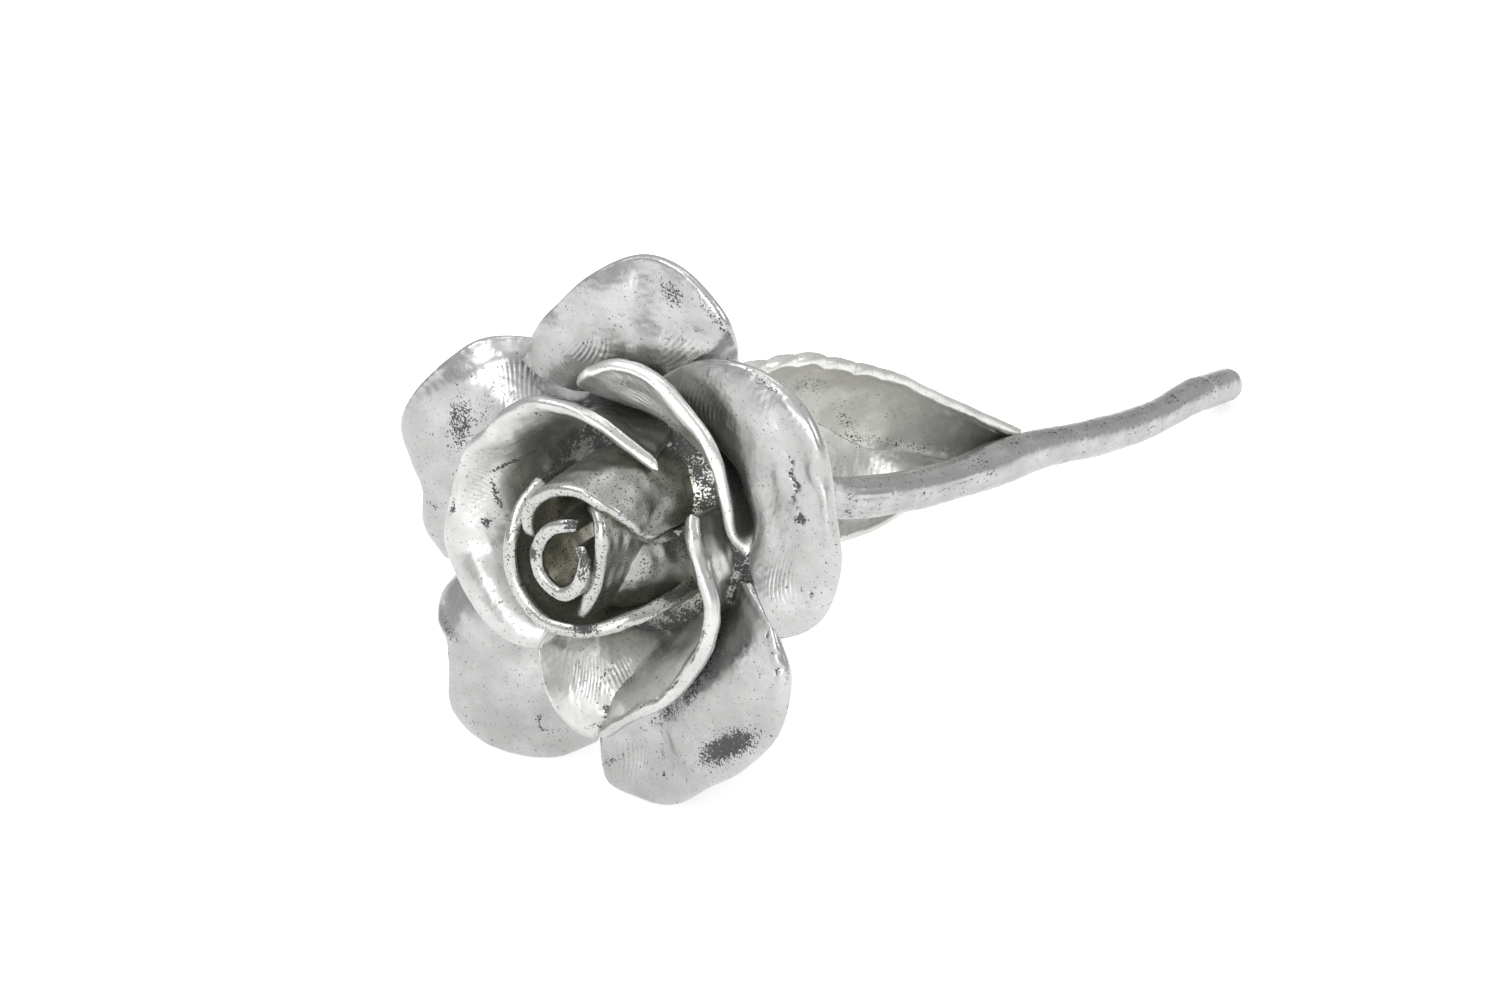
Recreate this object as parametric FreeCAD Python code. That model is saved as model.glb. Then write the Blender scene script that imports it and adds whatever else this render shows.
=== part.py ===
import FreeCAD, Part
import math
import os

# A metal rose lying on a table: a flower head of twelve petals on a hub, a curved stem and one
# leaf. The rose points its face along -Y and its stem along +Y, and rests on the rims of the
# two lower outer petals and on the free end of the stem. Millimetres, +Z up, with the origin
# on the table under the middle of the rose.

# ---- driving dimensions --------------------------------------------------------------------
OUTER_SHEET = 1.0        # thickness of the outer petals and of the leaf
INNER_SHEET = 1.2        # thickness of the three inner petals
BUD_SHEET = 1.2          # thickness of the three petals of the bud
CORE_SHEET = 1.1         # thickness of the rolled core
HEAD_CENTRE = (0.6, -47.6, 29.8)   # where the head's axis crosses the plane of the petal roots
BUD_OFFSET = (1.0, 0.5)  # the bud's axis, right of and above the head's axis
CORE_OFFSET = (1.5, 1.2)
BUD_FLOOR = 3.0          # height of the bud's roots above the plane of the petal roots
BUD_TOP = 22.0
BUD_SWELL = 0.10         # how much wider the bud is at half height than at its ends
END_RADIUS = 2.0         # the straight free end of the stem
END_LENGTH = 12.0
END_ROUND = 0.8

# A petal is a fan of curves from a root arc to its rim. Each curve is a cubic whose two inner
# control points sit at these shares of the way out and of the way up.
FACE = (0.04, 0.85, 0.16, 1.02)     # rises beside the inner petals, then spreads out flat
SHELF = (0.04, 0.97, 0.14, 1.05)    # the same, but flat from closer in
RISE = (0.15, 0.45, 0.50, 0.95)
CUP = (0.05, 0.60, 0.30, 1.15)
FLARE = (0.00, 0.80, 0.06, 0.78)    # hugs the bud, then turns out sharply
FLANK = (0.02, 0.63, 0.06, 0.76)    # hugs the bud, then slopes out from half its height
BOWL = (0.05, 0.45, 0.35, 0.90)

# Rims in cylindrical head coordinates: (angle in degrees, radius, height). The angle runs
# counter-clockwise from the right as seen from the front, and the height is towards the front.
# A root is (first angle, last angle, first radius, last radius, height) about the bud's axis.
PETALS = {
    "outer_petal_top": {
        "rim": [(60, 21, 4.5), (64, 27, 8), (75, 29.7, 9), (86, 29.5, 8.7), (98, 26.6, 9.5),
                (116, 22.6, 9), (134, 19.9, 7.8)],
        "root": (70, 120, 14.2, 14.2, -1.4), "sides": (SHELF, SHELF), "sheet": OUTER_SHEET},
    "outer_petal_right": {
        "rim": [(344, 20.6, 11.2), (349, 22.9, 10.8), (356, 24.7, 10.3), (368, 26.2, 10),
                (380, 26.7, 10), (393, 28.4, 10), (404, 28.3, 10), (416, 26.1, 10.25),
                (428, 21.6, 9.8), (437, 17.8, 9.2)],
        "root": (366, 416, 14.2, 14.2, -1.3), "sides": (SHELF, SHELF), "sheet": OUTER_SHEET},
    "outer_petal_lower_right": {
        "rim": [(261.5, 24, 9), (265, 28.5, 9.5), (272, 29.7, 8.5), (280, 29.6, 8.5),
                (291, 27.4, 9.5), (303, 26.4, 10), (318, 25.2, 10), (331, 22.8, 9.6),
                (340, 19.5, 9.3), (348, 16.5, 8.6), (352, 14.4, 8)],
        "root": (276, 342, 11.5, 11.5, -2.5), "sides": (FACE, FACE), "sheet": OUTER_SHEET},
    "outer_petal_lower_left": {
        "rim": [(204, 25, 5), (209, 27.6, 8.5), (214, 27.6, 10.5), (219, 27, 11.5),
                (224, 29.2, 11.4), (229, 32.9, 10.6), (236, 33.9, 9.7), (242.5, 33.1, 8.6),
                (249.5, 30.9, 7.4), (256.5, 27.2, 5.8)],
        "root": (207, 264, 11.5, 11.5, -2.5), "sides": (FACE, FACE), "sheet": OUTER_SHEET},
    "outer_petal_upper_left": {
        "rim": [(130, 20.5, 4), (138, 24, 8), (148, 25.3, 10), (160, 26.9, 10.5),
                (169, 27.6, 10.5), (177, 26.6, 10), (184, 25.7, 9.5), (194, 26.7, 8.8),
                (203, 26.3, 7.5)],
        "root": (132, 195, 11.5, 11.5, -2.5), "sides": (FACE, FACE), "sheet": OUTER_SHEET},
    "inner_petal_left": {
        "rim": [(54, 12.3, 13.5), (74, 12.9, 14.5), (91, 14.6, 15), (104, 15.6, 15),
                (115, 16.3, 15), (127, 16.3, 15), (139, 16, 15), (151, 16.7, 15),
                (163, 16.9, 15), (184, 17.7, 15), (195, 18.1, 15), (206, 17, 15.5),
                (218, 16, 16), (230, 14.9, 16), (243, 13.5, 15)],
        "root": (74, 240, 11.1, 9.9, 1.5), "sides": (RISE, CUP), "sheet": INNER_SHEET},
    "inner_petal_right": {
        "rim": [(1, 13.4, 8), (15, 14, 10.5), (30, 15.9, 11.8), (43, 18.3, 12.3),
                (54, 19.6, 12.7), (69, 20.8, 13.2), (83, 20.3, 13.4), (93, 18.7, 13.2),
                (101, 17.2, 12), (110.5, 15.8, 9.5)],
        "root": (9, 108, 11.8, 13.3, 0), "sides": (FLANK, FLARE), "sheet": INNER_SHEET},
    "inner_petal_lower": {
        "rim": [(238, 16.5, 12), (246, 18.4, 13), (254, 19.8, 14), (261, 21, 14),
                (266, 21.5, 13.5), (268, 20.9, 13), (271, 20.9, 13.5), (284, 18.3, 14),
                (301, 17, 14), (323, 15.7, 14), (337, 15.2, 14), (349, 14.2, 14),
                (358, 13.1, 14), (369, 12.3, 14), (380, 12.2, 14), (389, 12.4, 13)],
        "root": (250, 385, 9.9, 10.2, 1.5), "sides": (BOWL, BOWL), "sheet": INNER_SHEET},
}

# The bud's sheets stand nearly upright on the hub: each is its rim carried down to BUD_FLOOR.
BUD_PETALS = {
    "bud_petal_left": {
        "rim": [(140, 8.6, 15), (158, 8.2, 18), (170, 7.6, 19.7), (185, 7.5, 20),
                (205, 7.7, 20), (226, 7.8, 20), (246, 7.6, 20), (271, 7.2, 19.5),
                (292, 7.1, 19), (308, 7.4, 18), (320, 8, 16.4), (330, 8.5, 13.8),
                (337, 8.6, 10.5)],
        "axis": BUD_OFFSET, "sheet": BUD_SHEET},
    "bud_petal_top": {
        "rim": [(25, 8.8, 10.5), (22, 8.4, 13.3), (23, 7.8, 15.7), (30, 7.6, 17.3),
                (39, 8.2, 18.6), (50, 8.7, 20), (62, 9, 21), (75, 9, 21.3), (88, 8.6, 21.5),
                (103, 7.8, 21.5), (118, 6.8, 21.5), (136, 5.8, 21), (156, 5.2, 20),
                (170, 5.2, 18.5)],
        "axis": BUD_OFFSET, "sheet": BUD_SHEET},
    "bud_petal_right": {
        "rim": [(273, 5.6, 19), (299, 4, 20), (341, 3.6, 20.5), (376, 4.5, 21),
                (394, 5.8, 21.5), (407, 6.9, 21.5), (418, 7.5, 21), (430, 7.2, 20)],
        "axis": BUD_OFFSET, "sheet": CORE_SHEET},
    "bud_core": {
        "rim": [(60, 2.6, 21), (25, 2.6, 21.5), (-15, 2.2, 21.8), (-60, 2.5, 22),
                (-98, 3, 22), (-140, 3.1, 22), (-180, 3.1, 22), (-212, 3.2, 22),
                (-245, 3.6, 22), (-272, 4.2, 22), (-291, 4.7, 21.5)],
        "axis": CORE_OFFSET, "sheet": CORE_SHEET},
}

# Half the hub's outline, from the stem socket over the shoulder that the petals stand on and
# up the boss that fills the bud, to the middle of the boss: (radius, height)
HUB_OUTLINE = [(2.6, -9.5), (6.5, -7.5), (10.8, -4.6), (13.3, -2.3), (14, 0.2), (14, 3),
               (13.2, 5.6), (11.8, 7.6), (10, 8.8), (8.4, 9.8), (7.4, 11.4), (6.6, 13.6),
               (5.2, 15.8), (3, 16.7), (0, 16.9)]

# The stem's centre line from the hub to the start of its straight end, with the radius there.
STEM_LINE = [(1.6, -38.1, 30.3, 2.3), (1.5, -34.3, 28.8, 2.3), (1, -27.3, 24.4, 2.2),
             (0.6, -18.9, 19.6, 2.2), (0.6, -5.4, 15.6, 2.2), (0.6, 6.7, 13.2, 2.3),
             (0.6, 12.7, 12.4, 2.5), (0.6, 21.1, 11, 2.25), (0.4, 34.4, 7.8, 2.1),
             (-0.2, 46.7, 5.5, END_RADIUS)]
END_START = (-0.8, 57.6, 4.5)
END_DIRECTION = (-0.105, 0.974, -0.21)

# The leaf's upper edge, midrib and lower edge from its root on the stem to its tip.
LEAF_TOP = [(-0.2, 18.4, 14.1), (-1.6, 12.2, 18), (-2.4, 6.9, 21.3), (-3.4, -4.6, 28.3),
            (-5.4, -15.1, 32.9), (-7.9, -25.1, 34.5), (-10.4, -32.1, 33.2)]
LEAF_RIB = [(-2.6, 16.7, 11.6), (-3.6, 10.2, 12.4), (-5.9, 3.3, 15.5), (-8.4, -1.7, 17.3),
            (-10.4, -8.1, 22), (-11.6, -19.1, 27.7), (-10.9, -32.6, 32.4)]
LEAF_LOW = [(-1.2, 14.2, 9.3), (-2, 7.2, 9.7), (-2.6, -0.6, 10.6), (-3.6, -7.4, 10.1),
            (-5.9, -14.1, 11.2), (-9.4, -24.1, 19.2), (-10.9, -32.8, 31.2)]
LEAF_BELLY = 1.2         # how far each half of the leaf bows outwards

ALONG = 29               # grid of points that each sheet's surface passes through
ACROSS = 11
STEM_RINGS = 25


def catmull_rom(points, share):
    """The point at a share of the way along the smooth curve through the points."""
    last = len(points) - 1
    place = min(max(share, 0.0), 1.0) * last
    i = min(int(place), last - 1)
    f = place - i
    first = tuple(2 * a - b for a, b in zip(points[0], points[1]))
    final = tuple(2 * a - b for a, b in zip(points[-1], points[-2]))
    row = [first] + list(points) + [final]
    out = []
    for a, b, c, d in zip(row[i], row[i + 1], row[i + 2], row[i + 3]):
        out.append(0.5 * (2 * b + (c - a) * f + (2 * a - 5 * b + 4 * c - d) * f ** 2
                          + (3 * b - a - 3 * c + d) * f ** 3))
    return tuple(out)


def polar(angle, radius, height, axis=(0.0, 0.0)):
    turn = math.radians(angle)
    return (axis[0] + radius * math.cos(turn), axis[1] + radius * math.sin(turn), height)


def from_head(point):
    """Head coordinates (right, up, towards the front) to the part's frame."""
    right, up, front = point
    return FreeCAD.Vector(HEAD_CENTRE[0] + right, HEAD_CENTRE[1] - front, HEAD_CENTRE[2] + up)


def blend(a, b, share):
    return tuple(x + (y - x) * share for x, y in zip(a, b))


def petal_point(petal, s, t):
    """A point of a fan petal's middle surface: s runs along the rim and t from root to rim."""
    rim = catmull_rom([polar(*p) for p in petal["rim"]], s)
    a0, a1, r0, r1, height = petal["root"]
    root = polar(a0 + (a1 - a0) * s, r0 + (r1 - r0) * s, height, BUD_OFFSET)
    out1, up1, out2, up2 = blend(petal["sides"][0], petal["sides"][1], s)
    weights = ((1 - t) ** 3, 3 * t * (1 - t) ** 2, 3 * t ** 2 * (1 - t), t ** 3)
    outward = weights[1] * out1 + weights[2] * out2 + weights[3]
    upward = weights[1] * up1 + weights[2] * up2 + weights[3]
    return (root[0] + (rim[0] - root[0]) * outward, root[1] + (rim[1] - root[1]) * outward,
            root[2] + (rim[2] - root[2]) * upward)


def swell(height):
    """The bud's width at a height, as a multiple of its width at its root."""
    share = min(max((height - BUD_FLOOR) / (BUD_TOP - BUD_FLOOR), 0.0), 1.0)
    return 1.0 + BUD_SWELL * math.sin(math.pi * share ** 0.85)


def bud_point(petal, s, t):
    """A point of a bud sheet's middle surface: the rim carried down and following the swell."""
    rim = catmull_rom([polar(*p, petal["axis"]) for p in petal["rim"]], s)
    height = BUD_FLOOR + (rim[2] - BUD_FLOOR) * t
    scale = swell(height) / swell(rim[2])
    return (BUD_OFFSET[0] + (rim[0] - BUD_OFFSET[0]) * scale,
            BUD_OFFSET[1] + (rim[1] - BUD_OFFSET[1]) * scale, height)


def leaf_point(s, t):
    """A point of the leaf's middle surface: s from root to tip, t from lower to upper edge."""
    rib = catmull_rom(LEAF_RIB, s)
    side = 2 * t - 1
    edge = catmull_rom(LEAF_TOP if side > 0 else LEAF_LOW, s)
    share = abs(side)
    x, y, z = blend(rib, edge, share)
    belly = LEAF_BELLY * 4 * share * (1 - share) * math.sin(math.pi * min(s + 0.08, 1.0))
    return FreeCAD.Vector(x - belly, y, z)


def sheet_solid(point_at, thickness, along=ALONG, across=ACROSS):
    """A closed solid of even thickness on a middle surface given as point_at(s, t)."""
    step = 1e-3
    front = []
    back = []
    for i in range(along):
        s = i / (along - 1)
        front_row = []
        back_row = []
        for j in range(across):
            t = j / (across - 1)
            centre = point_at(s, t)
            ds = point_at(min(s + step, 1), t) - point_at(max(s - step, 0), t)
            dt = point_at(s, min(t + step, 1)) - point_at(s, max(t - step, 0))
            normal = ds.cross(dt)
            normal.normalize()
            front_row.append(centre + normal * (thickness / 2))
            back_row.append(centre - normal * (thickness / 2))
        front.append(front_row)
        back.append(back_row)
    sheets = []
    for grid in (front, back):
        surface = Part.BSplineSurface()
        surface.interpolate(grid)
        sheets.append(surface)
    u0, u1, v0, v1 = sheets[0].bounds()
    faces = [sheets[0].toShape(), sheets[1].toShape()]
    for take in (lambda b: b.uIso(u0), lambda b: b.uIso(u1),
                 lambda b: b.vIso(v0), lambda b: b.vIso(v1)):
        edges = [take(sheet).toShape() for sheet in sheets]
        faces.append(Part.makeRuledSurface(edges[0], edges[1]))
    shell = Part.Shell(faces)
    shell.sewShape()
    solid = Part.Solid(shell)
    if solid.Volume < 0:
        solid.reverse()
    return solid


def fan_petal(petal):
    return sheet_solid(lambda s, t: from_head(petal_point(petal, s, t)), petal["sheet"])


def bud_petal(petal):
    return sheet_solid(lambda s, t: from_head(bud_point(petal, s, t)), petal["sheet"])


def outside(sheet, hub):
    """What stands out of the hub, without the slivers that its shoulder cuts off."""
    return max(sheet.cut(hub).Solids, key=lambda solid: solid.Volume)


def receptacle():
    """The hub: a turned solid about the bud's axis, from the stem socket to its boss."""
    outline = [from_head((BUD_OFFSET[0] + r, BUD_OFFSET[1], h)) for r, h in HUB_OUTLINE]
    curve = Part.BSplineCurve()
    curve.interpolate(outline)
    base = from_head((BUD_OFFSET[0], BUD_OFFSET[1], HUB_OUTLINE[0][1]))
    edges = [curve.toShape(), Part.makeLine(outline[-1], base), Part.makeLine(base, outline[0])]
    face = Part.Face(Part.Wire(Part.__sortEdges__(edges)))
    return face.revolve(base, FreeCAD.Vector(0, 1, 0), 360)


def stem():
    """The curved stem with its swelling, and the straight round end with a rounded tip."""
    start = FreeCAD.Vector(*END_START)
    way = FreeCAD.Vector(*END_DIRECTION).normalize()
    line = STEM_LINE + [END_START + (END_RADIUS,)]
    rings = []
    for i in range(STEM_RINGS):
        share = i / (STEM_RINGS - 1)
        *place, radius = catmull_rom(line, share)
        ahead = catmull_rom(line, share + 1e-3)[:3]
        behind = catmull_rom(line, share - 1e-3)[:3]
        along = FreeCAD.Vector(*ahead) - FreeCAD.Vector(*behind)
        if i == STEM_RINGS - 1:
            along = way
        ring = Part.Wire(Part.makeCircle(radius))
        turn = FreeCAD.Rotation(FreeCAD.Vector(1, 0, 0), FreeCAD.Vector(0, 0, 0), along, "ZXY")
        ring.Placement = FreeCAD.Placement(FreeCAD.Vector(*place), turn)
        rings.append(ring)
    curved = Part.makeLoft(rings, True, False)
    end = Part.makeCylinder(END_RADIUS, END_LENGTH, start, way)
    tip_edges = [e for e in end.Edges if isinstance(e.Curve, Part.Circle)
                 and (e.Curve.Center - start).Length > END_LENGTH / 2]
    end = end.makeFillet(END_ROUND, tip_edges)
    return curved.fuse(end)


def export(name, shape):
    shape.exportStep("parts/" + name + ".step")
    box = shape.BoundBox
    print("%-24s solids %d valid %s volume %8.1f  x %6.1f %6.1f  y %6.1f %6.1f  z %6.1f %6.1f" % (
        name, len(shape.Solids), shape.isValid(), shape.Volume,
        box.XMin, box.XMax, box.YMin, box.YMax, box.ZMin, box.ZMax))


def main():
    os.makedirs("parts", exist_ok=True)
    hub = receptacle()
    stalk = stem().cut(hub)
    export("receptacle", hub)
    export("stem", stalk)
    for name, petal in PETALS.items():
        export(name, outside(fan_petal(petal), hub))
    for name, petal in BUD_PETALS.items():
        export(name, outside(bud_petal(petal), hub))
    export("leaf", sheet_solid(leaf_point, OUTER_SHEET, 23, 13).cut(stalk))


main()
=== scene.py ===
import bpy
import math
import numpy as np
from functools import partial
from mathutils import Matrix, Vector
from mathutils.bvhtree import BVHTree


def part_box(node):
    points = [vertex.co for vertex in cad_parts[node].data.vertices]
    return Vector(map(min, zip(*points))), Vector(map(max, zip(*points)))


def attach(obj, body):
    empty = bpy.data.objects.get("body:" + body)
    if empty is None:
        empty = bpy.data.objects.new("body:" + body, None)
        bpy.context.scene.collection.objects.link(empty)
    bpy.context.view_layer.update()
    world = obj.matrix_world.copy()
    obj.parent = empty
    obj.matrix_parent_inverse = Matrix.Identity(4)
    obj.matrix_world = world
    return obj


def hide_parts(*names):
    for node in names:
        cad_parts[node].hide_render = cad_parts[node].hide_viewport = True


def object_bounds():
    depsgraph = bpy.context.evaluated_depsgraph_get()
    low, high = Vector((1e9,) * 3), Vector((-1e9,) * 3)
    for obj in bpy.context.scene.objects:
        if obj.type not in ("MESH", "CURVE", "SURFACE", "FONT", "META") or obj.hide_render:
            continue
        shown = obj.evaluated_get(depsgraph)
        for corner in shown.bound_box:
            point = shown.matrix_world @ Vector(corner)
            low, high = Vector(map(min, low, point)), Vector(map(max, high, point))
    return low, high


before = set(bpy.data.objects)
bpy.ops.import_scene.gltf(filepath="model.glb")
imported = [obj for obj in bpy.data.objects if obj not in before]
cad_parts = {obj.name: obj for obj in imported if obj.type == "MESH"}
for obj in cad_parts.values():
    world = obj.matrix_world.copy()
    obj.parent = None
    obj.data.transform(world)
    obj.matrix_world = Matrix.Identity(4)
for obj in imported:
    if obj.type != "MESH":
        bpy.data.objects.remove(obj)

# An antiqued silver rose lying on a pale floor. Every CAD node is replaced by a finely worked
# mesh of the same sheet, tube or turned form: rounded lips, hand-pressed dents, cast finger
# marks and cracks are geometry, and the dark patina lies where the metal is shut in.
# Shapes are in millimetres and become metres when a mesh is written.

CAD_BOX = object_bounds()
MM = 0.001

# ---- where the head is ---------------------------------------------------------------------
# Head coordinates are (right, up, towards the front). The hub is turned about the bud's axis,
# and the boss that fills the bud is the foremost point of it.
BUD_OFFSET = (1.0, 0.5)
BOSS_HEIGHT = 16.9
HUB_LOW, HUB_HIGH = [np.array(corner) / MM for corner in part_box("receptacle")]
HEAD = np.array([(HUB_LOW[0] + HUB_HIGH[0]) / 2 - BUD_OFFSET[0], HUB_LOW[1] + BOSS_HEIGHT,
                 (HUB_LOW[2] + HUB_HIGH[2]) / 2 - BUD_OFFSET[1]])

# ---- the forms, as in the CAD model, but with the bud's sheets a little thicker ------------
OUTER_SHEET = 1.0        # the leaf too
INNER_SHEET = 1.2
BUD_SHEET = 1.25
CORE_SHEET = 1.25        # the rolled core, and the narrow petal beside it
CORE_OFFSET = (1.5, 1.2)
BUD_FLOOR = 3.0
BUD_TOP = 22.0
BUD_SWELL = 0.10

# Shares of the way out and up of the two inner control points of a petal's profile.
FACE = (0.04, 0.85, 0.16, 1.02)
SHELF = (0.04, 0.97, 0.14, 1.05)
RISE = (0.15, 0.45, 0.50, 0.95)
CUP = (0.05, 0.60, 0.30, 1.15)
FLARE = (0.00, 0.80, 0.06, 0.78)
FLANK = (0.02, 0.63, 0.06, 0.76)
BOWL = (0.05, 0.45, 0.35, 0.90)

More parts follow.
